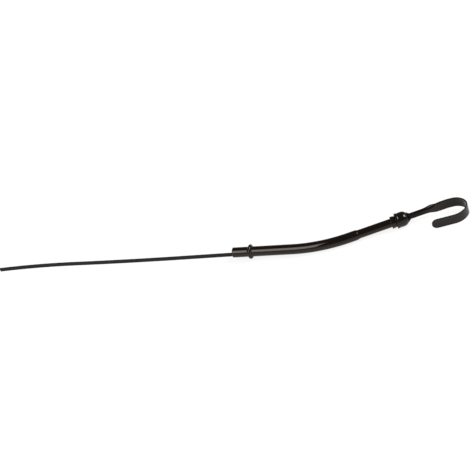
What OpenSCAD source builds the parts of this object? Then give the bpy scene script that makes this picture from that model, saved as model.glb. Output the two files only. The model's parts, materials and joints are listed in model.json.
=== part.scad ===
// Engine oil dipstick in its guide tube.
// The tube is drawn in its bend plane: the origin is the point on the tube's axis where the stop
// bead seats on the engine block, +X runs up the tube and +Y is the side that it bends to.
// rest_pose() then lays the whole thing on the floor as it would come to rest.

/* [Block end] */
// Outside diameter of the tube from its block end to the swage
tube_d = 11.11; // [10:0.01:13]
// Wall of the tube
tube_wall = 1; // [0.7:0.05:1.2]
// Length that is pressed into the block, up to the bead
stub_len = 17.4; // [10:0.1:30]
// Lead-in chamfer at the block end
stub_chamfer = 0.4; // [0.2:0.1:0.8]
// Diameter over the stop bead
bead_d = 16; // [14.8:0.1:18]
// Slope of the bead's flanks
bead_flank = 52; // [35:1:60]
// Radius of the bead's crest
bead_round = 1.8; // [1.4:0.1:2]

/* [Tube run] */
// Straight tube from the bead's seat to the bend
straight_len = 49.8; // [30:0.1:120]
// Bend radius on the tube's axis
bend_r = 160; // [120:1:240]
// Bend angle
bend_angle = 22.5; // [15:0.5:32]
// How much the bending thins the wall from either side
bend_thinning = 0.01; // [0.01:0.005:0.03]
// Straight tube between the bend and the swage
run_out_len = 7.5; // [3:0.5:40]
// Length over which the tube is swaged down
swage_len = 4.2; // [3:0.1:10]
// Outside diameter above the swage
neck_d = 9.525; // [9.4:0.005:10.8]
// Straight tube between the swage and the collar
neck_len = 35.5; // [28:0.5:90]

/* [Mouth collar] */
// Length of the collar
collar_len = 4.8; // [3:0.1:8]
// Diameter of the collar's square foot
collar_foot_d = 13.7; // [13:0.1:15]
// Diameter of the collar's top
collar_top_d = 12.3; // [11.3:0.1:13]
// Gap between the collar and the tube, filled with braze
braze_gap = 0.03; // [0.02:0.01:0.1]

/* [Cap] */
// Gap between the collar's top and the cap's rim
cap_gap = 0.4; // [0.2:0.1:1]
// Diameter of the rim band
cap_rim_d = 16.7; // [16.5:0.1:18]
// Length of the rim band
cap_rim_len = 3.2; // [2.2:0.1:4]
// Rounding of the rim's lower edge
cap_rim_round = 0.3; // [0.2:0.05:0.6]
// Length over which the band rounds off into the groove
cap_rim_slope = 1.5; // [0.8:0.1:1.6]
// Depth of the groove above the rim band
cap_groove = 0.3; // [0.1:0.05:0.4]
// Width of that groove
cap_groove_w = 0.5; // [0.3:0.1:0.8]
// Diameter of the cap's body
cap_d = 16.3; // [15.8:0.1:16.5]
// Height of the cap
cap_len = 12.7; // [12:0.1:15]
// Height of the domed shoulder
cap_dome_len = 5.2; // [4.5:0.1:6.2]
// Diameter of the flat top
cap_top_d = 11.4; // [10.8:0.1:12]
// Wall of the stamped cap
cap_wall = 0.8; // [0.6:0.05:1]

/* [Seal] */
// Height of the tube's mouth above the cap's rim
mouth_depth = 7.6; // [6:0.1:8.5]
// Gap left round the rubber seal, and between the shank and what it passes through
seal_gap = 0.05; // [0.02:0.01:0.1]
// Gap left between faces that seat on each other
seat_gap = 0.02; // [0.01:0.01:0.05]

/* [Cap washer] */
// Diameter of the washer's flange
washer_d = 10.9; // [9.8:0.1:12]
// Thickness of the flange
washer_t = 1.2; // [0.8:0.1:1.6]
// Diameter of the raised neck at the flange
washer_neck_d = 8.9; // [8.6:0.1:9.4]
// Diameter of the neck's top
washer_neck_top_d = 8.2; // [8:0.1:8.5]
// Height of the neck
washer_neck_len = 1.6; // [1:0.1:3]

/* [Handle strap] */
// Width of the flat strap
strap_w = 12.2; // [12:0.1:12.6]
// Thickness of the strap
strap_t = 1.25; // [1:0.05:1.3]
// Inside radius of the folds
fold_r = 0.2; // [0.15:0.05:0.3]
// Width of the folded shank
shank_w = 7.2; // [7:0.05:7.3]
// Depth of the folded shank
shank_depth = 3.8; // [3.5:0.05:3.85]
// Length of the shank below the tube's mouth
shank_reach = 26; // [22:0.5:32]
// Folded shank above the washer, before its flanges start to open
shank_len = 13.6; // [8:0.1:40]
// Length over which the flanges open out flat
opening_len = 28.7; // [20:0.1:40]
// Straight shank above the washer, before the strap starts to curve
stem_len = 21.5; // [15:0.5:50]

/* [Hook] */
// Length of the gentle curve that leads into the hook
sweep_len = 28.9; // [20:0.1:40]
// Angle of that curve
sweep_angle = 10.9; // [5:0.1:20]
// Radius of the hook where it begins
hook_in_r = 14.6; // [12:0.1:18]
// Radius at the end of the hook
hook_end_r = 9.3; // [8:0.1:14]
// Radius where it runs back
hook_out_r = 17.6; // [14:0.1:20]
// Angle turned at each of the first two radii
hook_angle = 60; // [50:1:62]
// Angle turned at the last radius
hook_out_angle = 56; // [50:1:60]
// Length of the tail, with its round end
tail_len = 24.5; // [15:0.5:35]

/* [Blade] */
// Width of the blade
blade_w = 5.2; // [4.9:0.1:5.8]
// Thickness of the blade
blade_t = 0.8; // [0.6:0.05:1]
// Gap between the blade's edge and the bore where it leaves the tube
exit_gap = 0.45; // [0.3:0.05:1]
// Slope of the blade where it leaves the tube
exit_angle = 0.75; // [0:0.05:1.5]
// Gap between the blade and the inner side of the bend
bow_gap = 0.9; // [0.5:0.1:2]
// Straight blade below the tube
exit_len = 58; // [20:1:120]
// Length of the faint back bow
bow_len = 130; // [60:1:200]
// Angle of the back bow
bow_angle = 1.6; // [0:0.1:3]
// Length of the curved lower end
set_len = 95; // [50:1:150]
// Angle of the curved lower end
set_angle = 5.5; // [0:0.1:8]
// Distance of the lower and of the upper level mark from the tip
mark_at = [14, 34]; // [5:1:60]
// Width of a level mark
mark_w = 0.8; // [0.4:0.1:1.2]
// Depth of a level mark
mark_depth = 0.2; // [0.1:0.05:0.3]

/* [Blade joint] */
// Length of the tang inside the shank
tang_len = 20; // [15:0.5:21]
// Distance of the rivet from the shank's lower end
rivet_at = 8; // [5:0.5:14]
// Diameter of the rivet
rivet_d = 2; // [1.6:0.1:2.2]
// Diameter of its heads
rivet_head_d = 3; // [2.6:0.1:3.1]
// Thickness of its heads
rivet_head_t = 0.5; // [0.3:0.1:0.6]

/* [Hidden] */

$fn = 96;
BLACK_GLOSS = [0.05, 0.05, 0.055];
BLACK_SATIN = [0.09, 0.085, 0.08];
RUBBER = [0.03, 0.03, 0.03];
STEEL = [0.55, 0.55, 0.56];
CUT = 1;
LAP = 0.5;

tube_r = tube_d / 2;
neck_r = neck_d / 2;
bore_r = tube_r - tube_wall;
neck_bore_r = neck_r - tube_wall;

// Distances up the tube's upper axis, from the end of the bend
swage_at = run_out_len;
neck_at = swage_at + swage_len;
collar_at = neck_at + neck_len;
rim_at = collar_at + collar_len + cap_gap;
mouth_at = rim_at + mouth_depth;
cap_top_at = rim_at + cap_len + seat_gap;
washer_top_at = cap_top_at + washer_t;
shank_low_at = mouth_at - shank_reach;

// Folded section of the shank: half the strap, measured along the middle of its thickness
fold_mid_r = fold_r + strap_t / 2;
fold_len = fold_mid_r * PI / 2;
half_web = shank_w / 2 - fold_r - strap_t;
half_strap = strap_w / 2;
tang_w = 2 * (half_web - seat_gap);
flange_len = shank_depth - 2 * (fold_r + strap_t);
lip_len = half_strap - half_web - flange_len - 2 * fold_len;
web_offset = (shank_depth - strap_t) / 2;
shank_reach_r = norm([half_web, flange_len / 2]) + fold_r + strap_t;
FOLD_STEPS = 3;
OPENING_STEPS = 12;
ARC_STEP = 6;

// Dome of the cap: an arc that leaves the body tangent and ends at the flat top
function dome_angle(rise, run) = 2 * atan(rise / run);
dome_rise = (cap_d - cap_top_d) / 2;
dome_turn = dome_angle(dome_rise, cap_dome_len);
dome_r = cap_dome_len / sin(dome_turn);

// A path is a list of [length, turn]; a pose is [x, y, direction]
function travel(pose, run, turn) =
    abs(turn) < 0.0001
    ? [pose.x + run * cos(pose.z), pose.y + run * sin(pose.z), pose.z]
    : let (r = run / (turn * PI / 180))
      [pose.x + r * (sin(pose.z + turn) - sin(pose.z)),
       pose.y - r * (cos(pose.z + turn) - cos(pose.z)),
       pose.z + turn];

function pose_at(pose, path, s, i = 0) =
    i == len(path) - 1 || s <= path[i].x
    ? travel(pose, s, path[i].y * s / path[i].x)
    : pose_at(travel(pose, path[i].x, path[i].y), path, s - path[i].x, i + 1);

function path_len(path, i = 0) = i == len(path) ? 0 : path[i].x + path_len(path, i + 1);

function beside(pose, offset) = [pose.x - offset * sin(pose.z), pose.y + offset * cos(pose.z)];

function arc_len(r, angle) = r * angle * PI / 180;

// Tube
bend_start = [straight_len, 0, 0];
bend_end = travel(bend_start, arc_len(bend_r, bend_angle), bend_angle);

function on_upper_axis(at, offset = 0) =
    let (p = beside(travel(bend_end, at, 0), offset)) [p.x, p.y, bend_end.z];

// Handle: the path is the middle of the strap's thickness, from the shank's lower end
handle_start = on_upper_axis(shank_low_at, web_offset);
handle_stem = washer_top_at + stem_len - shank_low_at;
handle_path = [
    [handle_stem, 0],
    [sweep_len, -sweep_angle],
    [arc_len(hook_in_r, hook_angle), -hook_angle],
    [arc_len(hook_end_r, hook_angle), -hook_angle],
    [arc_len(hook_out_r, hook_out_angle), -hook_out_angle],
    [tail_len, 0]
];
handle_len = path_len(handle_path);
opening_at = washer_top_at + shank_len - shank_low_at;
tip_at = handle_len - half_strap;

// Blade: the path is the middle of its thickness, from the top of the tang down to the tip
tang_offset = web_offset - (strap_t + blade_t) / 2 - seat_gap;
tang_start = on_upper_axis(shank_low_at + tang_len, tang_offset);
exit_offset = sqrt(bore_r ^ 2 - (blade_w / 2) ^ 2) - blade_t / 2 - exit_gap;
bow_offset = sqrt(bore_r ^ 2 - (blade_w / 2) ^ 2) - blade_t / 2 - bow_gap;
exit_point = [-stub_len, -exit_offset];
exit_dir = [cos(exit_angle), sin(exit_angle)];
upper_dir = [cos(bend_angle), sin(bend_angle)];
tang_point = [tang_start.x, tang_start.y];
// Where the blade's upper and lower lines would meet, and the arc that joins them
line_run = cross(tang_point - exit_point, upper_dir) / cross(exit_dir, upper_dir);
blade_corner = exit_point + line_run * exit_dir;
blade_turn = bend_angle - exit_angle;
bend_middle = travel(bend_start, arc_len(bend_r, bend_angle / 2), bend_angle / 2);
bow_target = beside(bend_middle, bow_offset);
corner_normal = [-sin((bend_angle + exit_angle) / 2), cos((bend_angle + exit_angle) / 2)];
upper_room = norm(tang_point - blade_corner) - tang_len;
bow_r = min(((bow_target - blade_corner) * corner_normal) / (1 / cos(blade_turn / 2) - 1),
            upper_room / tan(blade_turn / 2));
bow_tangent = bow_r * tan(blade_turn / 2);
blade_path = [
    [norm(tang_point - blade_corner) - bow_tangent, 0],
    [arc_len(bow_r, blade_turn), -blade_turn],
    [line_run - bow_tangent + exit_len, 0],
    [bow_len, -bow_angle],
    [set_len, set_angle]
];
blade_len = path_len(blade_path);
blade_pose = [tang_start.x, tang_start.y, bend_angle + 180];
BLADE_STEP = 6;

// Rest: the plane through the lowest points of the bead, the cap's rim and the hook's tail
bead_r = bead_d / 2;
crest_r = bead_r - bead_round;
flank_top = crest_r + bead_round * cos(bead_flank);
bead_half = bead_round * sin(bead_flank) + (flank_top - tube_r) / tan(bead_flank);

function lowest(centre, axis, r, up) =
    let (across = up - (axis * up) * axis) centre - r * across / norm(across);

function unit(v) = v / norm(v);

cap_rim_centre = on_upper_axis(rim_at + cap_rim_round);
tail_pose = pose_at(handle_start, handle_path, tip_at);
tail_side = beside(tail_pose, strap_t / 2);

function rest_points(up) = [
    lowest([bead_half, 0, 0], [1, 0, 0], crest_r, up) - bead_round * up,
    lowest([cap_rim_centre.x, cap_rim_centre.y, 0], [upper_dir.x, upper_dir.y, 0], cap_rim_d / 2, up),
    [tail_side.x, tail_side.y, -half_strap]
];

function rest_up(up, tries) =
    let (p = rest_points(up), n = unit(cross(p[2] - p[0], p[1] - p[0])))
    tries == 0 ? n : rest_up(n, tries - 1);

floor_up = rest_up([0, 0, 1], 6);
rest_axis = cross(floor_up, [0, 0, 1]);
rest_angle = asin(norm(rest_axis));

module rest_pose() {
    rotate(a = rest_angle, v = rest_axis) children();
}

// Turns a shape drawn about Z so that it stands on the tube's upper axis at a given distance
module upper(at) {
    p = on_upper_axis(at);
    translate([p.x, p.y, 0]) rotate([0, 0, bend_angle]) rotate([0, 90, 0]) children();
}

// Rounded hump of the bead over a wall at radius base, as a half section
module hump(base, crest, round_r) {
    centre = crest - round_r;
    top = centre + round_r * cos(bead_flank);
    half = round_r * sin(bead_flank) + (top - base) / tan(bead_flank);
    polygon([
        [base - tube_wall / 2, -half], [base, -half], [top, -round_r * sin(bead_flank)],
        [top, round_r * sin(bead_flank)], [base, half], [base - tube_wall / 2, half]
    ]);
    translate([centre, 0]) circle(round_r);
}

module block_end() {
    total = stub_len + straight_len + LAP;
    translate([-stub_len, 0, 0]) rotate([0, 90, 0])
    rotate_extrude()
    difference() {
        union() {
            polygon([
                [0, 0], [tube_r - stub_chamfer, 0], [tube_r, stub_chamfer], [tube_r, total], [0, total]
            ]);
            translate([0, stub_len + bead_half]) hump(tube_r, bead_r, bead_round);
        }
        square([bore_r, total]);
        translate([0, stub_len + bead_half])
            hump(bore_r, bead_r - tube_wall, bead_round - tube_wall);
    }
}

module bend() {
    translate([straight_len, bend_r, 0]) rotate([0, 0, -90])
    rotate_extrude(angle = bend_angle) translate([bend_r, 0]) difference() {
        circle(tube_r - bend_thinning);
        circle(bore_r + bend_thinning);
    }
}

// Outside or inside of the swaged end: a smooth step from one radius to the other
function swage_line(r_low, r_high) = [
    for (i = [0:8]) let (t = i / 8)
        [r_low + (r_high - r_low) * (1 - cos(180 * t)) / 2, swage_at + swage_len * t]
];

module neck() {
    upper(0) rotate_extrude() polygon(concat(
        [[tube_r, -LAP]], swage_line(tube_r, neck_r), [[neck_r, mouth_at], [neck_bore_r, mouth_at]],
        [for (i = [8:-1:0]) swage_line(bore_r, neck_bore_r)[i]], [[bore_r, -LAP]]
    ));
}

module guide_tube() {
    color(BLACK_GLOSS) rest_pose() union() {
        block_end();
        bend();
        neck();
    }
}

module mouth_collar() {
    inner = neck_r + braze_gap;
    color(BLACK_GLOSS) rest_pose() upper(collar_at) rotate_extrude() polygon([
        [inner, 0], [collar_foot_d / 2, 0], [collar_top_d / 2, collar_len], [inner, collar_len]
    ]);
}

// Points of the cap's dome, drawn inset from the outside by a wall or a clearance
function dome_line(inset) = [
    for (i = [0:8]) let (t = dome_turn * i / 8, r = dome_r - inset)
        [cap_d / 2 - dome_r + r * cos(t), cap_len - cap_dome_len + r * sin(t)]
];

module cap() {
    rim_r = cap_rim_d / 2;
    body_r = cap_d / 2;
    groove_top = cap_rim_len + cap_groove_w;
    groove_r = body_r - cap_groove;
    slope_turn = dome_angle(rim_r - groove_r, cap_rim_slope);
    slope_r = cap_rim_slope / sin(slope_turn);
    inner_top = cap_len - cap_wall;
    color(BLACK_GLOSS) rest_pose() upper(rim_at) rotate_extrude() difference() {
        polygon(concat(
            [[0, 0], [rim_r - cap_rim_round, 0]],
            [for (a = [-67.5:22.5:0]) [rim_r - cap_rim_round + cap_rim_round * cos(a),
                                       cap_rim_round + cap_rim_round * sin(a)]],
            [for (i = [0:5]) let (t = slope_turn * i / 5)
                [rim_r - slope_r + slope_r * cos(t), cap_rim_len - cap_rim_slope + slope_r * sin(t)]],
            [[groove_r, groove_top], [body_r, groove_top]],
            dome_line(0), [[0, cap_len]]
        ));
        cup_inside(cap_wall, -CUT, inner_top);
        square([shank_reach_r + seal_gap, cap_len + CUT]);
    }
}

// Half section of the hollow of the cap, between two heights above its rim
module cup_inside(inset, low, high) {
    intersection() {
        polygon(concat([[0, low], [cap_d / 2 - inset, low]], dome_line(inset), [[0, cap_len]]));
        translate([0, low]) square([cap_d, high - low]);
    }
}

module cap_seal() {
    color(RUBBER) rest_pose() upper(rim_at) rotate_extrude() difference() {
        cup_inside(cap_wall + seal_gap, mouth_depth + seat_gap, cap_len - cap_wall - seal_gap);
        square([shank_reach_r + seal_gap, cap_len]);
    }
}

// Outline of the folded shank, grown by a clearance
module shank_outline(gap) {
    corner = fold_r + strap_t + gap;
    for (x = [-1, 1], y = [-1, 1])
        translate([x * half_web, y * flange_len / 2]) circle(corner);
    square([2 * half_web, shank_depth + 2 * gap], center = true);
    square([shank_w + 2 * gap, flange_len], center = true);
}

module cap_washer() {
    color(BLACK_GLOSS) rest_pose() upper(cap_top_at) difference() {
        rotate_extrude() polygon([
            [0, 0], [washer_d / 2, 0], [washer_d / 2, washer_t], [washer_neck_d / 2, washer_t],
            [washer_neck_top_d / 2, washer_t + washer_neck_len], [0, washer_t + washer_neck_len]
        ]);
        translate([0, 0, -CUT]) linear_extrude(washer_t + washer_neck_len + 2 * CUT)
            shank_outline(seal_gap);
    }
}

// Smooth step from 0 to 1
function ease(t) = let (c = max(0, min(1, t))) c * c * (3 - 2 * c);

// Half section of the strap, flat at fold 0 and folded at fold 1: [across, depth, direction] along
// the middle of its thickness, from the centre of the web to the lip
function fold_half(web_fold, lip_fold) =
    let (
        web = [half_web, 0, 0],
        first = [for (i = [1:FOLD_STEPS]) travel(web, fold_len * i / FOLD_STEPS,
                                                 90 * web_fold * i / FOLD_STEPS)],
        flange = travel(first[FOLD_STEPS - 1], flange_len, 0),
        second = [for (i = [1:FOLD_STEPS]) travel(flange, fold_len * i / FOLD_STEPS,
                                                  90 * lip_fold * i / FOLD_STEPS)]
    )
    concat([[0, 0, 0], web], first, [flange], second,
           [travel(second[FOLD_STEPS - 1], lip_len, 0)]);

// Closed section of the strap at a distance along the handle, as [across, depth] points
function strap_section(s) =
    let (
        t = (s - opening_at) / opening_len,
        narrow = s <= tip_at ? 1 : sqrt(max(0, 1 - ((s - tip_at) / half_strap) ^ 2)),
        half = fold_half(1 - ease(t), 1 - ease(1.22 * t)),
        last = len(half) - 1,
        back = [for (p = half) beside(p, -strap_t / 2)],
        face = [for (p = half) beside(p, strap_t / 2)]
    )
    concat(
        [for (i = [last:-1:1]) [-back[i].x * narrow, back[i].y]],
        [for (i = [0:last]) [back[i].x * narrow, back[i].y]],
        [for (i = [last:-1:1]) [face[i].x * narrow, face[i].y]],
        [for (i = [0:last]) [-face[i].x * narrow, face[i].y]]
    );

function strap_ring(s) =
    let (pose = pose_at(handle_start, handle_path, s))
    [for (p = strap_section(s)) let (q = beside(pose, -p.y)) [q.x, q.y, p.x]];

// Stations along the handle: ends of the straights, steps of the opening, the bends and the tip
bends_at = handle_stem + sweep_len;
hook_len = path_len(handle_path) - bends_at - tail_len;
hook_steps = ceil((2 * hook_angle + hook_out_angle) / ARC_STEP);
flat_at = max(opening_at + opening_len, bends_at);
handle_stations = concat(
    [0],
    [for (i = [0:OPENING_STEPS]) opening_at + (flat_at - opening_at) * i / OPENING_STEPS],
    [for (i = [1:hook_steps]) flat_at + (bends_at + hook_len - flat_at) * i / hook_steps],
    [for (a = [0:15:75]) tip_at + half_strap * sin(a)],
    [tip_at + half_strap * sin(85)]
);

module handle() {
    rings = [for (s = handle_stations) strap_ring(s)];
    n = len(rings[0]);
    half = n / 2 - 1;
    last = len(rings) - 1;
    points = [for (ring = rings, p = ring) p];
    sides = [for (k = [0:last - 1], i = [0:n - 1]) let (j = (i + 1) % n)
        each [[k * n + i, k * n + j, (k + 1) * n + i], [k * n + j, (k + 1) * n + j, (k + 1) * n + i]]];
    caps = [for (i = [0:half - 1]) let (j = n - 1 - i, up = last * n)
        each [[i, j, i + 1], [i + 1, j, j - 1],
              [up + i, up + i + 1, up + j], [up + i + 1, up + j - 1, up + j]]];
    color(BLACK_SATIN) rest_pose() difference() {
        polyhedron(points, concat(sides, caps));
        rivet_line(-CUT - strap_t) cylinder(d = rivet_d + 2 * seat_gap, h = strap_t + 2 * CUT);
    }
}

// Outline of a strip of even thickness along a stretch of a path
function strip_outline(pose, path, from, to, thick) =
    let (
        steps = max(1, ceil((to - from) / BLADE_STEP)),
        poses = [for (i = [0:steps]) pose_at(pose, path, from + (to - from) * i / steps)]
    )
    concat([for (p = poses) beside(p, thick / 2)],
           [for (i = [steps:-1:0]) beside(poses[i], -thick / 2)]);

module level_mark(from_tip) {
    p = pose_at(blade_pose, blade_path, blade_len - from_tip);
    translate([p.x, p.y, 0]) rotate([0, 0, p.z])
        translate([-mark_w / 2, blade_t / 2 - mark_depth, -blade_w])
        cube([mark_w, blade_t, 2 * blade_w]);
}

module blade() {
    color(BLACK_SATIN) rest_pose() difference() {
        union() {
            linear_extrude(tang_w, center = true)
                polygon(strip_outline(blade_pose, blade_path, 0, tang_len + BLADE_STEP, blade_t));
            linear_extrude(blade_w, center = true)
                polygon(strip_outline(blade_pose, blade_path, tang_len + 1, blade_len, blade_t));
        }
        rivet_line(-CUT) cylinder(d = rivet_d + 2 * seat_gap, h = blade_t + seat_gap + 2 * CUT);
        for (at = mark_at) level_mark(at);
    }
}

// Stands a shape on the rivet's axis; z counts from the inside of the web towards the lips
module rivet_line(z) {
    p = on_upper_axis(shank_low_at + rivet_at, web_offset - strap_t / 2);
    translate([p.x, p.y, 0]) rotate([0, 0, bend_angle]) rotate([90, 0, 0])
        translate([0, 0, z]) children();
}

module blade_rivet() {
    grip = strap_t + blade_t + 3 * seat_gap;
    color(STEEL) rest_pose() rivet_line(-strap_t - seat_gap) {
        cylinder(d = rivet_d, h = grip);
        translate([0, 0, -rivet_head_t]) cylinder(d = rivet_head_d, h = rivet_head_t);
        translate([0, 0, grip]) cylinder(d = rivet_head_d, h = rivet_head_t);
    }
}

guide_tube();
mouth_collar();
cap();
cap_seal();
cap_washer();
handle();
blade();
blade_rivet();
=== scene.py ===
"""Engine oil dipstick in its guide tube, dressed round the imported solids.

The bench frame is the one that the assembly is drawn in: the origin is the point on the tube's
axis where the stop bead seats, +X runs up the tube and +Y is the side that it bends to. RestPose
turns the bench frame into the row frame, in which the assembly lies on the floor. The part's
sizes are in millimetres until make_piece turns them into metres, and finishes, lamps and the
stage are in metres from the start. Angles are in degrees wherever they are named sizes.
"""

import json
import logging
import math
import sys
from dataclasses import dataclass, field
from enum import Enum
from typing import Iterable, Sequence

import bmesh
import bpy
from mathutils import Matrix, Quaternion, Vector

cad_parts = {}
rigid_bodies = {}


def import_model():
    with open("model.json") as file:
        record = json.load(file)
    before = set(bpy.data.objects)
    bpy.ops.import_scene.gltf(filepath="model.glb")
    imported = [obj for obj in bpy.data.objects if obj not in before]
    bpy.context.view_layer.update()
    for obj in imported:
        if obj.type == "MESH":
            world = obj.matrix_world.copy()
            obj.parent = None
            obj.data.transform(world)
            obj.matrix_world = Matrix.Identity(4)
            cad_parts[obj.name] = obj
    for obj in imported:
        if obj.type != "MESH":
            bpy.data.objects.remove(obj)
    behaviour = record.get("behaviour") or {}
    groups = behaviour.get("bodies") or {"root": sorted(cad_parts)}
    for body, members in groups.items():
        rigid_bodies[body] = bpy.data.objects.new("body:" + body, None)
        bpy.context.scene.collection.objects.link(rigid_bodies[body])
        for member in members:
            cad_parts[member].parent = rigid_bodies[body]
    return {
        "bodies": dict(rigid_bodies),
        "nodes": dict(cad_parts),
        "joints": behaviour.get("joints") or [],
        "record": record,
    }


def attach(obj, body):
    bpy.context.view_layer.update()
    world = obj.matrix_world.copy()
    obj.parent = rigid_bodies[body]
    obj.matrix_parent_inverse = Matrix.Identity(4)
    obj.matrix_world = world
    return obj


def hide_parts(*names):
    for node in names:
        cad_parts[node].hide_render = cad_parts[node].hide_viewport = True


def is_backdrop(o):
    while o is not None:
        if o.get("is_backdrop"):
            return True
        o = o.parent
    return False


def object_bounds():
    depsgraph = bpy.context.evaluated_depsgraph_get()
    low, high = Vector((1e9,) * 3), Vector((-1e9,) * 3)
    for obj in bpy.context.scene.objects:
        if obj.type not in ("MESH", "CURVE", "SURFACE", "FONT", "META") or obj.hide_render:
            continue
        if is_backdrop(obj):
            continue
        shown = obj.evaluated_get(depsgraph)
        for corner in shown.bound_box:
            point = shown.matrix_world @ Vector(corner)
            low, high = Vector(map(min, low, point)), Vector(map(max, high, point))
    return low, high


LOG = logging.getLogger("dipstick")
ROOT = "root"  # the body that every piece rides on
MM = 0.001  # metres in a millimetre
WELD = 1e-7  # metres within which two corners of a mesh are one
STRAIGHT = 1e-4  # degrees of turn below which a stretch is a straight line
SHARP_ANGLE = 40.0  # over which an edge of a piece stays sharp
NOISE_BAND = (0.3, 0.7)  # the part of a noise value's range that sets the roughness
COLOUR_BAND = (0.35, 0.65)  # the part of it over which two colours blend

Point2 = tuple[float, float]
Point3 = tuple[float, float, float]
Span = tuple[float, float]
Colour = tuple[float, float, float]
Socket = bpy.types.NodeSocket


class Coat(Enum):
    """The kinds of surface that the assembly shows, by the record's slots.

    The washer's coat isn't in the record. It only dresses a CAD node, as painted shade: a darker,
    less shiny copy of the cap's black, for the washer's dark edges.
    """

    TUBE = "tube_paint"
    CAP = "cap_paint"
    # painted shade: the washer's darker, less shiny copy of the cap's black
    SHADED_WASHER = "shaded_washer_paint"
    STRAP = "strap_paint"
    BLADE = "blade_black"
    RUBBER = "seal_rubber"
    STEEL = "rivet_steel"


# Finishes


class NodeBench:
    """Adds linked nodes to the tree of a material or a world."""

    def __init__(
        self,
        owner: bpy.types.Material | bpy.types.World,
        output: str = "ShaderNodeOutputMaterial",
    ) -> None:
        """Empties the owner's tree and adds its output.

        Args:
            owner: The material or world to build.
            output: Blender's name for its output node.
        """
        owner.use_nodes = True
        self.tree = owner.node_tree
        self.tree.nodes.clear()
        self.output = self.add(output)

    def add(
        self, kind: str, inputs: dict[str | int, object] | None = None, **settings: object
    ) -> bpy.types.Node:
        """Adds a node.

        Args:
            kind: Blender's name for the node type.
            inputs: What each input gets, by its name or place: a value or a socket to link from.
            **settings: Attributes to set on the node.

        Returns:
            The new node.
        """
        node = self.tree.nodes.new(kind)
        for name, value in settings.items():
            setattr(node, name, value)
        for name, value in (inputs or {}).items():
            if isinstance(value, Socket):
                self.join(value, node.inputs[name])
            else:
                node.inputs[name].default_value = value
        return node

    def join(self, source: Socket, target: Socket) -> None:
        """Links one socket to another."""
        self.tree.links.new(source, target)

    def show(self, shader: Socket) -> None:
        """Links a shader to the output's surface."""
        self.join(shader, self.output.inputs["Surface"])

    def noise(self, place: Socket, scale: float, octaves: float) -> Socket:
        """Adds a noise texture.

        Args:
            place: The coordinates that it reads.
            scale: Its scale, in waves a metre.
            octaves: How many finer layers it has.

        Returns:
            The socket with its value.
        """
        inputs = {"Vector": place, "Scale": scale, "Detail": octaves}
        return self.add("ShaderNodeTexNoise", inputs).outputs["Fac"]

    def remap(self, value: Socket, span: Span, ends: Span, curve: str = "LINEAR") -> Socket:
        """Turns one range of a value into another, and holds it past both ends.

        Args:
            value: The value.
            span: The range that it reads.
            ends: What the two ends of that range become.
            curve: Blender's name for the way between them.

        Returns:
            The socket with the new value.
        """
        inputs = {
            "Value": value,
            "From Min": span[0],
            "From Max": span[1],
            "To Min": ends[0],
            "To Max": ends[1],
        }
        node = self.add("ShaderNodeMapRange", inputs, interpolation_type=curve)
        return node.outputs["Result"]

    def fade(self, place: Socket, axis: str, span: Span, ends: Span) -> Socket:
        """Makes a value that changes smoothly along an axis.

        Args:
            place: The coordinates that it reads.
            axis: The axis: X, Y or Z.
            span: Where the change starts and where it ends.
            ends: The value before its start and the value after its end.

        Returns:
            The socket with the value.
        """
        split = self.add("ShaderNodeSeparateXYZ", {"Vector": place})
        return self.remap(split.outputs[axis], span, ends, "SMOOTHSTEP")

    def blend(self, value: Socket, first: Colour, second: Colour) -> Socket:
        """Blends two colours by a noise value.

        Args:
            value: The noise value.
            first: The colour at low values.
            second: The colour at high values.

        Returns:
            The socket with the colour.
        """
        node = self.add("ShaderNodeValToRGB", {"Fac": value})
        for stop, place, colour in zip(node.color_ramp.elements, COLOUR_BAND, (first, second)):
            stop.position = place
            stop.color = (*colour, 1.0)
        return node.outputs["Color"]

    def bump(self, height: Socket, depth: float) -> Socket:
        """Turns a height value into a normal.

        Args:
            height: The height value.
            depth: The height of the relief, in metres.

        Returns:
            The socket with the normal.
        """
        return self.add("ShaderNodeBump", {"Height": height, "Distance": depth}).outputs["Normal"]

    def choose(self, ray: Socket, usual: Socket, special: Socket) -> Socket:
        """Shows one kind of ray another shader.

        Args:
            ray: The output of a Light Path node that tells this kind of ray.
            usual: The shader that other rays see.
            special: The shader that this kind of ray sees.

        Returns:
            The socket with the shader.
        """
        node = self.add("ShaderNodeMixShader", {"Fac": ray, 1: usual, 2: special})
        return node.outputs["Shader"]

    def glowing(self, grey: float, glow: float) -> Socket:
        """Makes a matt shader that also glows.

        Args:
            grey: How pale its matt part is.
            glow: How strongly it glows.

        Returns:
            The socket with the shader.
        """
        matt = self.add("ShaderNodeBsdfDiffuse", {"Color": (grey, grey, grey, 1.0)})
        light = self.add("ShaderNodeEmission", {"Strength": glow})
        inputs = {0: matt.outputs["BSDF"], 1: light.outputs["Emission"]}
        return self.add("ShaderNodeAddShader", inputs).outputs["Shader"]


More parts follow.
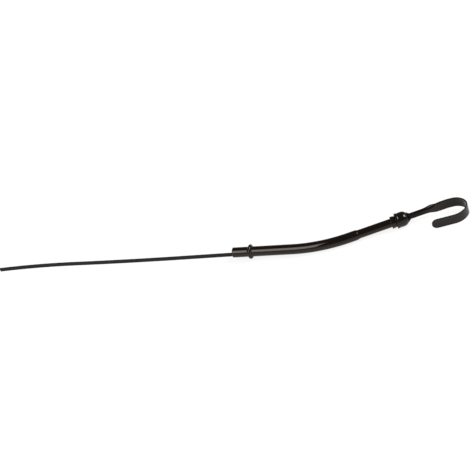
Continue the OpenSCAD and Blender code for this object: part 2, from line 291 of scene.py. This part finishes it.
@dataclass(frozen=True)
class Paint:
    """Black paint, plating or rubber: a colour and a sheen that drift, over a fine relief.

    Where a span of X is given, the finish is duller before it, as painted shade that darkens its
    reflection: over that stretch of X, the specular level rises from the lower level to specular.
    """

    name: str
    colour: Colour
    colour_drift: Colour
    roughness: Span
    specular: float
    relief_scale: float
    relief_depth: float
    tint: Colour = (1.0, 1.0, 1.0)
    drift_scale: float = 60.0
    drift_octaves: float = 3.0
    relief_octaves: float = 4.0
    stretch: Point3 = (1.0, 1.0, 1.0)
    metallic: float = 0.0
    # painted shade: a lower specular level, and the span of X over which it rises to the full one
    shaded_specular: float = 0.0
    shaded_span: Span | None = None

    def material(self) -> bpy.types.Material:
        """Builds the finish.

        Returns:
            The material.
        """
        material = bpy.data.materials.new(self.name)
        bench = NodeBench(material)
        place = bench.add("ShaderNodeTexCoord").outputs["Object"]
        lay = bench.add("ShaderNodeMapping", {"Vector": place, "Scale": self.stretch})
        drift = bench.noise(place, self.drift_scale, self.drift_octaves)
        grain = bench.noise(lay.outputs["Vector"], self.relief_scale, self.relief_octaves)
        inputs = {
            "Base Color": bench.blend(drift, self.colour, self.colour_drift),
            "Roughness": bench.remap(grain, NOISE_BAND, self.roughness),
            "Normal": bench.bump(grain, self.relief_depth),
            "Metallic": self.metallic,
            "Specular IOR Level": self.specular,
            "Specular Tint": (*self.tint, 1.0),
        }
        shader = bench.add("ShaderNodeBsdfPrincipled", inputs)
        # painted shade: the specular level is lower before the span, to darken the reflection there
        if self.shaded_span:
            rise = bench.fade(place, "X", self.shaded_span, (self.shaded_specular, self.specular))
            bench.join(rise, shader.inputs["Specular IOR Level"])
        bench.show(shader.outputs["BSDF"])
        return material


FINISHES: dict[Coat, Paint] = {
    Coat.TUBE: Paint(
        name="gloss black tube enamel",
        colour=(0.0044, 0.0026, 0.0018),
        colour_drift=(0.0056, 0.0034, 0.0024),
        roughness=(0.05, 0.09),
        specular=0.32,
        tint=(1.0, 0.92, 0.88),
        relief_scale=900.0,
        relief_depth=0.000004,
    ),
    Coat.CAP: Paint(
        name="gloss black cap enamel",
        colour=(0.0036, 0.0028, 0.0024),
        colour_drift=(0.0046, 0.0036, 0.0031),
        roughness=(0.06, 0.11),
        specular=0.32,
        tint=(1.0, 0.93, 0.89),
        relief_scale=1100.0,
        relief_depth=0.000004,
    ),
    # painted shade: darker and less shiny than the cap's paint, to darken the washer's edges
    Coat.SHADED_WASHER: Paint(
        name="black washer paint darkened as painted shade",
        colour=(0.0020, 0.0018, 0.0016),
        colour_drift=(0.0028, 0.0024, 0.0022),
        roughness=(0.16, 0.26),
        specular=0.10,
        tint=(1.0, 0.94, 0.91),
        relief_scale=1300.0,
        relief_depth=0.000005,
    ),
    Coat.STRAP: Paint(
        name="semi-gloss black strap enamel",
        colour=(0.0048, 0.0034, 0.0031),
        colour_drift=(0.0062, 0.0045, 0.0041),
        roughness=(0.14, 0.22),
        specular=0.27,
        tint=(1.0, 0.93, 0.91),
        relief_scale=1300.0,
        relief_depth=0.000006,
        # painted shade: the shank's sheen is lowered below where it opens out, to darken its
        # reflection
        shaded_specular=0.10,
        shaded_span=(0.183, 0.200),  # where the shank opens out
    ),
    Coat.BLADE: Paint(
        name="satin black oxide blade",
        colour=(0.0038, 0.0027, 0.0025),
        colour_drift=(0.0052, 0.0040, 0.0037),
        roughness=(0.28, 0.40),
        specular=0.17,
        tint=(1.0, 0.94, 0.92),
        relief_scale=2200.0,
        relief_depth=0.000003,
        stretch=(0.06, 1.0, 1.0),  # drawn out along the strip, as it was rolled
    ),
    Coat.RUBBER: Paint(
        name="moulded black rubber",
        colour=(0.012, 0.012, 0.012),
        colour_drift=(0.018, 0.018, 0.018),
        roughness=(0.62, 0.75),
        specular=0.3,
        relief_scale=1600.0,
        relief_depth=0.00001,
    ),
    Coat.STEEL: Paint(
        name="bright steel rivet",
        colour=(0.46, 0.46, 0.47),
        colour_drift=(0.58, 0.58, 0.59),
        roughness=(0.28, 0.40),
        specular=0.5,
        relief_scale=2500.0,
        relief_depth=0.000003,
        metallic=1.0,
    ),
}


class PaintShop:
    """Makes each finish once and puts it on CAD nodes and on new pieces."""

    def __init__(self, nodes: dict[str, bpy.types.Object]) -> None:
        """Builds every finish.

        Args:
            nodes: The CAD nodes by name.
        """
        self.nodes = nodes
        self.materials = {coat: paint.material() for coat, paint in FINISHES.items()}

    def dress(self, name: str, coat: Coat) -> None:
        """Gives a CAD node its finish.

        Args:
            name: The node's name.
            coat: The surface that it shows.
        """
        for slot in self.nodes[name].material_slots:
            slot.material = self.materials[coat]
        LOG.info("dressed %s as %s", name, coat.value)

    def paint(self, piece: bpy.types.Object, coat: Coat) -> None:
        """Gives a new piece its finish.

        Args:
            piece: The piece.
            coat: The surface that it shows.
        """
        piece.data.materials.append(self.materials[coat])


# Places and paths


@dataclass(frozen=True)
class RestPose:
    """Turns the bench frame into the row frame, in which the assembly rests on the floor."""

    axis: Point3 = (0.141742, 0.0269943, 0.0)
    angle: float = 8.296134

    def matrix(self) -> Matrix:
        """Returns the turn as a 4 by 4 matrix."""
        turn = Quaternion(Vector(self.axis).normalized(), math.radians(self.angle))
        return turn.to_matrix().to_4x4()


@dataclass(frozen=True)
class Pose:
    """A place on a path that lies in a plane, with the direction of the path there."""

    x: float
    y: float
    turn: float

    def travel(self, run: float, turn: float) -> "Pose":
        """Moves along an arc, or along a line where it doesn't turn.

        Args:
            run: The length travelled.
            turn: The angle turned on the way.

        Returns:
            The new place.
        """
        start, end = math.radians(self.turn), math.radians(self.turn + turn)
        if abs(turn) < STRAIGHT:
            return Pose(self.x + run * math.cos(start), self.y + run * math.sin(start), self.turn)
        radius = run / math.radians(turn)
        return Pose(
            self.x + radius * (math.sin(end) - math.sin(start)),
            self.y - radius * (math.cos(end) - math.cos(start)),
            self.turn + turn,
        )

    def beside(self, offset: float) -> Point2:
        """Returns the point at an offset to the left of the path."""
        turn = math.radians(self.turn)
        return (self.x - offset * math.sin(turn), self.y + offset * math.cos(turn))


@dataclass(frozen=True)
class Path:
    """A chain of (length, turn) stretches from a starting place."""

    start: Pose
    stretches: tuple[tuple[float, float], ...]

    @property
    def length(self) -> float:
        """Returns the whole length."""
        return sum(run for run, _ in self.stretches)

    def at(self, distance: float) -> Pose:
        """Finds the place at a distance along the path.

        Args:
            distance: The distance from the start. Past the end, the last stretch goes on.

        Returns:
            The place there.
        """
        pose = self.start
        for run, turn in self.stretches[:-1]:
            if distance <= run:
                break
            pose = pose.travel(run, turn)
            distance -= run
        else:
            run, turn = self.stretches[-1]
        return pose.travel(distance, turn * distance / run)


@dataclass(frozen=True)
class TubeLine:
    """The tube's axis, which carries everything above the bend.

    Each place on the upper axis is given by its distance from the end of the bend.
    """

    straight_len: float = 49.8  # from the stop bead to the bend
    bend_r: float = 160.0
    bend_angle: float = 22.5
    run_out_len: float = 7.5  # from the bend to the swage
    swage_len: float = 4.2
    neck_len: float = 35.5  # from the swage to the collar
    collar_len: float = 4.8
    cap_gap: float = 0.4  # from the collar to the cap's rim
    mouth_depth: float = 7.6  # from the cap's rim to the tube's mouth
    cap_len: float = 12.7
    washer_t: float = 1.2
    seat_gap: float = 0.02  # between the cap and the washer

    @property
    def collar_at(self) -> float:
        """Returns the place of the collar's foot."""
        return self.run_out_len + self.swage_len + self.neck_len

    @property
    def rim_at(self) -> float:
        """Returns the place of the cap's rim."""
        return self.collar_at + self.collar_len + self.cap_gap

    @property
    def mouth_at(self) -> float:
        """Returns the place of the tube's mouth."""
        return self.rim_at + self.mouth_depth

    @property
    def washer_top_at(self) -> float:
        """Returns the place of the top of the washer's flange."""
        return self.rim_at + self.cap_len + self.seat_gap + self.washer_t

    def on_upper_axis(self, distance: float, offset: float = 0.0) -> Pose:
        """Finds a place on the tube's upper axis.

        Args:
            distance: The distance from the end of the bend.
            offset: How far to the left of the axis.

        Returns:
            The place there, facing up the tube.
        """
        bend_len = self.bend_r * math.radians(self.bend_angle)
        bend_end = Pose(self.straight_len, 0.0, 0.0).travel(bend_len, self.bend_angle)
        return Pose(*bend_end.travel(distance, 0.0).beside(offset), self.bend_angle)

    def upper_frame(self, distance: float) -> Matrix:
        """Stands local +Z on the upper axis.

        Args:
            distance: The distance from the end of the bend.

        Returns:
            The matrix from the local frame to the bench frame.
        """
        place = self.on_upper_axis(distance)
        return (
            Matrix.Translation((place.x, place.y, 0.0))
            @ Matrix.Rotation(math.radians(place.turn), 4, "Z")
            @ Matrix.Rotation(math.radians(90.0), 4, "Y")
        )


# Meshes


def full_turn(steps: int) -> list[float]:
    """Returns the angles of a circle's corners, in radians."""
    return [2 * math.pi * k / steps for k in range(steps)]


def quarter_round(radius: float, steps: int) -> list[Point2]:
    """Draws a quarter of a circle that starts along its first axis and ends along its second.

    Args:
        radius: Its radius.
        steps: Its steps.

    Returns:
        Its points, from (0, 0) to (radius, radius).
    """
    angles = [math.radians(90.0 * i / steps) for i in range(steps + 1)]
    return [(radius * math.sin(angle), radius * (1 - math.cos(angle))) for angle in angles]


def ring_faces(rings: int, count: int, closed: bool = False) -> list[tuple[int, ...]]:
    """Joins each ring of points to the next one with quads.

    Args:
        rings: How many rings there are.
        count: How many points each ring has.
        closed: Whether the last ring is joined to the first.

    Returns:
        The corners of each face, for points that come ring by ring.
    """
    faces = []
    for k in range(rings if closed else rings - 1):
        here, there = k * count, (k + 1) % rings * count
        for i in range(count):
            j = (i + 1) % count
            faces.append((here + i, here + j, there + j, there + i))
    return faces


def make_piece(
    name: str,
    points: Sequence[Vector],
    faces: Iterable[Sequence[int]],
    pose: RestPose,
    sharp_angle: float = SHARP_ANGLE,
) -> bpy.types.Object:
    """Makes a mesh object from points in the bench frame.

    Args:
        name: The piece's name.
        points: Its points, in millimetres, in the bench frame.
        faces: The corners of each face.
        pose: The turn that lays it on the floor.
        sharp_angle: The angle over which an edge stays sharp.

    Returns:
        The object, in metres, in the row frame.
    """
    turn = pose.matrix()
    mesh = bpy.data.meshes.new(name)
    mesh.from_pydata([turn @ point * MM for point in points], [], faces)
    work = bmesh.new()
    work.from_mesh(mesh)
    bmesh.ops.remove_doubles(work, verts=work.verts, dist=WELD)
    bmesh.ops.recalc_face_normals(work, faces=work.faces)
    for face in work.faces:
        face.smooth = True
    for edge in work.edges:
        edge.smooth = edge.calc_face_angle(0.0) < math.radians(sharp_angle)
    work.to_mesh(mesh)
    work.free()
    piece = bpy.data.objects.new(name, mesh)
    bpy.context.scene.collection.objects.link(piece)
    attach(piece, ROOT)
    return piece


# Sub-assemblies


@dataclass
class GuideTube:
    """The bent tube with its stop bead, its swaged neck and the collar brazed below its mouth."""

    shop: PaintShop
    pose: RestPose
    line: TubeLine
    neck_r: float = 9.525 / 2
    fillet: float = 0.55
    sink: float = 0.05  # how far the braze reaches into the neck and the collar
    round_steps: int = 96
    fillet_steps: int = 6

    def build(self) -> None:
        """Dresses the tube and lays the braze at both ends of the collar."""
        self.shop.dress("guide_tube", Coat.TUBE)
        self.shop.dress("mouth_collar", Coat.TUBE)
        self.braze("collar_braze_low", self.line.collar_at, -1.0)
        self.braze("collar_braze_high", self.line.collar_at + self.line.collar_len, 1.0)

    def braze(self, name: str, distance: float, side: float) -> None:
        """Lays a ring of braze in the corner between the neck and the collar.

        Args:
            name: The piece's name.
            distance: The distance of the collar's face from the end of the bend.
            side: 1 where the braze lies above that face, -1 where it lies below.
        """
        frame = self.line.upper_frame(distance)
        inner, outer = self.neck_r - self.sink, self.neck_r + self.fillet
        arc = quarter_round(self.fillet, self.fillet_steps)
        profile = [
            (inner, -self.sink),
            (outer, -self.sink),
            *((outer - out, up) for out, up in arc),
            (inner, self.fillet),
        ]
        points = [
            frame @ Vector((radius * math.cos(turn), radius * math.sin(turn), side * height))
            for turn in full_turn(self.round_steps)
            for radius, height in profile
        ]
        faces = ring_faces(self.round_steps, len(profile), closed=True)
        self.shop.paint(make_piece(name, points, faces, self.pose), Coat.TUBE)
        LOG.info("built %s", name)


@dataclass
class MouthCap:
    """The stamped cap, the rubber seal inside it and the washer on top."""

    shop: PaintShop

    def build(self) -> None:
        """Dresses the three pieces."""
        self.shop.dress("cap", Coat.CAP)
        self.shop.dress("cap_seal", Coat.RUBBER)
        # the washer gets the darker copy of the cap's black, as painted shade
        self.shop.dress("cap_washer", Coat.SHADED_WASHER)


@dataclass
class HandleStrap:
    """The steel strap: a folded shank that opens out flat into the hook, and ends in a round tip.

    The shank's channel is turned with its web towards the camera, as the photo shows it.
    """

    shop: PaintShop
    pose: RestPose
    line: TubeLine

    # The strip. Its skin is how far it stays inside its full width and thickness.
    strap_w: float = 12.2
    strap_t: float = 1.25
    edge_r: float = 0.08
    skin: float = 0.003

    # The folded shank, whose reach is hidden below the tube's mouth
    fold_r: float = 0.4
    fold_angle: float = 90.0
    shank_w: float = 7.2
    shank_depth: float = 4.0
    web_offset: float = -1.202
    shank_reach: float = 26.0
    shank_len: float = 15.5

    # Where it opens out, first beside the web and last beside the lips
    opening_len: float = 24.0
    web_pace: float = 1.5
    lip_pace: float = 1.4

    # The way of the stem and the hook, where rise and sweep are each a length and a turn
    stem_len: float = 22.28
    rise: tuple[float, float] = (12.0, 5.12)
    sweep: tuple[float, float] = (16.0, -16.02)
    hook_radii: tuple[float, ...] = (14.6, 9.3, 17.6)
    hook_angles: tuple[float, ...] = (60.0, 60.0, 56.0)
    tail_len: float = 24.5

    # How finely it is drawn
    edge_steps: int = 4
    fold_steps: int = 8
    flat_steps: int = 3
    station_step: float = 0.5
    tip_steps: int = 16
    sharp_angle: float = 50.0

    # Worked out from the sizes above
    fold_len: float = field(init=False)
    half_web: float = field(init=False)
    half_strap: float = field(init=False)
    flange_len: float = field(init=False)
    lip_len: float = field(init=False)
    opening_at: float = field(init=False)
    tip_at: float = field(init=False)
    path: Path = field(init=False)

    def __post_init__(self) -> None:
        """Works out the folded section and the path of the middle of the strap's thickness."""
        self.fold_len = (self.fold_r + self.strap_t / 2) * math.radians(self.fold_angle)
        self.half_web = self.shank_w / 2 - self.fold_r - self.strap_t
        self.half_strap = self.strap_w / 2 - self.skin
        self.flange_len = self.shank_depth - 2 * (self.fold_r + self.strap_t)
        self.lip_len = self.half_strap - self.half_web - self.flange_len - 2 * self.fold_len
        low_at = self.line.mouth_at - self.shank_reach
        washer_top = self.line.washer_top_at - low_at
        arcs = (
            (radius * math.radians(angle), -angle)
            for radius, angle in zip(self.hook_radii, self.hook_angles)
        )
        self.path = Path(
            self.line.on_upper_axis(low_at, self.web_offset),
            (
                (washer_top + self.stem_len, 0.0),
                self.rise,
                self.sweep,
                *arcs,
                (self.tail_len, 0.0),
            ),
        )
        self.opening_at = washer_top + self.shank_len
        self.tip_at = self.path.length - self.half_strap

    @staticmethod
    def ease(value: float) -> float:
        """Returns a smooth step from 0 to 1."""
        held = max(0.0, min(1.0, value))
        return held * held * (3 - 2 * held)

    def half_line(self, web_fold: float, lip_fold: float) -> list[Pose]:
        """Draws half of the section along the middle of its thickness.

        Args:
            web_fold: How far the fold beside the web is closed, from 0 to 1.
            lip_fold: How far the fold beside the lip is closed, from 0 to 1.

        Returns:
            Places from the centre of the web to the edge of the lip.
        """
        found = [Pose(0.0, 0.0, 0.0)]
        for length, turn, steps in (
            (self.half_web, 0.0, self.flat_steps),
            (self.fold_len, self.fold_angle * web_fold, self.fold_steps),
            (self.flange_len, 0.0, 1),
            (self.fold_len, self.fold_angle * lip_fold, self.fold_steps),
            (self.lip_len - self.edge_r, 0.0, 1),
        ):
            for _ in range(steps):
                found.append(found[-1].travel(length / steps, turn / steps))
        return found

    def half_outline(self, web_fold: float, lip_fold: float) -> list[Point3]:
        """Draws half of the closed section, from the centre of its back to that of its face.

        Args:
            web_fold: How far the fold beside the web is closed, from 0 to 1.
            lip_fold: How far the fold beside the lip is closed, from 0 to 1.

        Returns:
            (across, depth, distance in from the strap's edge) for each point.
        """
        line = self.half_line(web_fold, lip_fold)
        half_t = self.strap_t / 2 - self.skin
        back = [(*pose.beside(-half_t), self.edge_r) for pose in line]
        face = [(*pose.beside(half_t), self.edge_r) for pose in reversed(line)]
        corner = quarter_round(self.edge_r, self.edge_steps)[1:]
        edge = [
            (*line[-1].travel(out, 0.0).beside(side * (half_t - up)), self.edge_r - out)
            for side, arc in ((-1.0, corner), (1.0, corner[::-1]))
            for out, up in arc
        ]
        return back + edge + face

    def ring(self, distance: float, tip_angle: float) -> list[Vector]:
        """Makes the section's points at one station.

        Args:
            distance: The station's distance along the strap, up to the centre of the round tip.
            tip_angle: The angle round the tip, 0 before it.

        Returns:
            The closed ring of points in the bench frame, whose second half mirrors its first.
        """
        opened = (distance - self.opening_at) / self.opening_len
        web_fold = 1 - self.ease(self.web_pace * opened)
        lip_fold = 1 - self.ease(1 - self.lip_pace * (1 - opened))
        angle = math.radians(tip_angle)
        half = []
        for across, depth, inset in self.half_outline(web_fold, lip_fold):
            reach = (self.half_strap - inset) * math.sin(angle)
            x, y = self.path.at(distance + reach).beside(depth)
            half.append(Vector((x, y, across * math.cos(angle))))
        return half + [Vector((p.x, p.y, -p.z)) for p in reversed(half[1:-1])]

    def stations(self) -> list[tuple[float, float]]:
        """Lists the stations: the low end of the shank, the opening and the hook, and the tip.

        Returns:
            (distance along the strap, angle round the tip) for each station.
        """
        run = self.tip_at - self.opening_at
        count = math.ceil(run / self.station_step)
        found = [(0.0, 0.0)]
        found += [(self.opening_at + run * i / count, 0.0) for i in range(count + 1)]
        found += [(self.tip_at, 90.0 * i / self.tip_steps) for i in range(1, self.tip_steps + 1)]
        return found

    @staticmethod
    def low_end(count: int) -> list[tuple[int, ...]]:
        """Closes the low end of the shank across the thickness of the strip.

        Args:
            count: How many points a ring has.

        Returns:
            The corners of each face, from the strip's centre out to both edges.
        """
        last = count // 2
        faces = []
        for i in range(last // 2):
            near = (i, i + 1, last - i - 1, last - i)
            faces += [near, tuple((count - corner) % count for corner in reversed(near))]
        return faces

    def build(self) -> None:
        """Builds the strap in place of its CAD node."""
        rings = [self.ring(*station) for station in self.stations()]
        count = len(rings[0])
        points = [point for ring in rings for point in ring]
        faces = ring_faces(len(rings), count) + self.low_end(count)
        piece = make_piece("handle_strap", points, faces, self.pose, self.sharp_angle)
        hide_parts("handle")
        self.shop.paint(piece, Coat.STRAP)
        LOG.info("built handle_strap with %d faces", len(piece.data.polygons))


@dataclass
class Blade:
    """The long flat blade and the rivet that holds its tang to the shank."""

    shop: PaintShop

    def build(self) -> None:
        """Dresses the blade and its rivet."""
        self.shop.dress("blade", Coat.BLADE)
        self.shop.dress("blade_rivet", Coat.STEEL)


# Stage


@dataclass(frozen=True)
class Softbox:
    """A rectangular studio light that faces the assembly."""

    name: str
    azimuth: float  # from -Y towards +X
    elevation: float
    distance: float
    width: float
    height: float
    radiance: float
    colour: Colour
    roll: float = 0.0

    def place(self, target: Vector) -> None:
        """Sets the light up.

        Args:
            target: The point that it faces.
        """
        lamp = bpy.data.lights.new(self.name, "AREA")
        lamp.shape = "RECTANGLE"
        lamp.size, lamp.size_y = self.width, self.height
        lamp.energy = self.radiance * math.pi * self.width * self.height
        lamp.color = self.colour
        az, el = math.radians(self.azimuth), math.radians(self.elevation)
        away = Vector((math.sin(az) * math.cos(el), -math.cos(az) * math.cos(el), math.sin(el)))
        roll = Quaternion((0.0, 0.0, 1.0), math.radians(self.roll))
        holder = bpy.data.objects.new(self.name, lamp)
        holder.location = target + away * self.distance
        holder.rotation_euler = (away.to_track_quat("Z", "Y") @ roll).to_euler()
        bpy.context.scene.collection.objects.link(holder)


@dataclass
class Studio:
    """The white floor, the dim room, the softboxes and the camera."""

    floor_z: float

    # The floor: matt for the lamps' light, with a glow in mirrors and for the camera
    floor_r: float = 60.0
    floor_steps: int = 64
    floor_grey: float = 0.5
    mirrored_glow: float = 0.42
    seen_grey: float = 0.14
    seen_glow: float = 0.86

    # The room: its level at the horizon, its level overhead, and the height where that starts
    room_low: float = 0.80
    room_high: float = 0.12
    room_rise: float = 0.42

    # The camera at the photograph's angle
    camera_at: Point3 = (0.548628, -1.189365, 0.93192)
    camera_right: Point3 = (0.93404, 0.226836, -0.275889)
    camera_up: Point3 = (0.076546, 0.627357, 0.774961)
    field_of_view: float = 18.0

    # The lamps, and the point that they face
    target: Point3 = (0.06, 0.01, 0.0)
    boxes: tuple[Softbox, ...] = (
        Softbox(
            name="key softbox",
            azimuth=-22.0,
            elevation=46.0,
            distance=7.0,
            width=3.5,
            height=5.8,
            radiance=5.8,
            colour=(1.0, 0.97, 0.93),
            roll=18.0,
        ),
        Softbox(
            name="side softbox",
            azimuth=108.0,
            elevation=44.0,
            distance=4.0,
            width=2.2,
            height=2.2,
            radiance=13.0,
            colour=(1.0, 0.98, 0.96),
        ),
    )

    def build(self) -> None:
        """Builds the whole stage."""
        self.lay_floor()
        self.light_room()
        for box in self.boxes:
            box.place(Vector(self.target))
            LOG.info("placed %s", box.name)
        self.set_camera()

    def lay_floor(self) -> None:
        """Lays the floor, which keeps the assembly's shadow."""
        mesh = bpy.data.meshes.new("studio_floor")
        points = [
            (self.floor_r * math.cos(turn), self.floor_r * math.sin(turn), 0.0)
            for turn in full_turn(self.floor_steps)
        ]
        mesh.from_pydata(points, [], [tuple(range(self.floor_steps))])
        mesh.materials.append(self.floor_paint())
        floor = bpy.data.objects.new("studio_floor", mesh)
        floor.location.z = self.floor_z
        bpy.context.scene.collection.objects.link(floor)
        floor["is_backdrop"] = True

    def floor_paint(self) -> bpy.types.Material:
        """Builds the floor's finish.

        Returns:
            The material.
        """
        material = bpy.data.materials.new("white sweep")
        bench = NodeBench(material)
        rays = bench.add("ShaderNodeLightPath").outputs
        mirrored = bench.glowing(self.floor_grey, self.mirrored_glow)
        seen = bench.glowing(self.seen_grey, self.seen_glow)
        shader = bench.glowing(self.floor_grey, 0.0)
        for ray, special in (
            ("Is Glossy Ray", mirrored),
            ("Is Transmission Ray", mirrored),
            ("Is Camera Ray", seen),
        ):
            shader = bench.choose(rays[ray], shader, special)
        bench.show(shader)
        return material

    def light_room(self) -> None:
        """Lights the room, paler near the floor than overhead, and shows it white to the camera."""
        world = bpy.data.worlds.new("studio room")
        bpy.context.scene.world = world
        bench = NodeBench(world, "ShaderNodeOutputWorld")
        place = bench.add("ShaderNodeTexCoord").outputs["Generated"]
        level = bench.fade(place, "Z", (0.0, self.room_rise), (self.room_low, self.room_high))
        room = bench.add("ShaderNodeBackground", {"Color": level}).outputs["Background"]
        white = bench.add("ShaderNodeBackground", {"Color": (1.0, 1.0, 1.0, 1.0)})
        seen = bench.add("ShaderNodeLightPath").outputs["Is Camera Ray"]
        bench.show(bench.choose(seen, room, white.outputs["Background"]))

    def set_camera(self) -> None:
        """Sets the camera up, with its two axes made square to each other."""
        data = bpy.data.cameras.new("photo camera")
        data.angle = math.radians(self.field_of_view)
        right, up = Vector(self.camera_right).normalized(), Vector(self.camera_up)
        up = (up - up.dot(right) * right).normalized()
        turn = Matrix((right, up, right.cross(up))).transposed()
        camera = bpy.data.objects.new("photo camera", data)
        camera.matrix_world = Matrix.Translation(self.camera_at) @ turn.to_4x4()
        bpy.context.scene.collection.objects.link(camera)
        bpy.context.scene.camera = camera


def plain(box: Iterable[Iterable[float]]) -> list[list[float]]:
    """Turns a box into plain lists of numbers."""
    return [[float(value) for value in corner] for corner in box]


def main() -> None:
    """Builds every sub-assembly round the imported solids, then the stage."""
    logging.basicConfig(level=logging.INFO, format="%(name)s: %(message)s", stream=sys.stdout)
    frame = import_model()
    cad_box = plain(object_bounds())
    shop = PaintShop(frame["nodes"])
    pose, line = RestPose(), TubeLine()
    for part in (
        GuideTube(shop, pose, line),
        MouthCap(shop),
        HandleStrap(shop, pose, line),
        Blade(shop),
    ):
        part.build()
        LOG.info("finished %s", type(part).__name__)
    Studio(floor_z=cad_box[0][2]).build()
    bpy.context.scene.view_settings.view_transform = "Standard"
    bpy.context.view_layer.update()


if __name__ == "__main__":
    main()
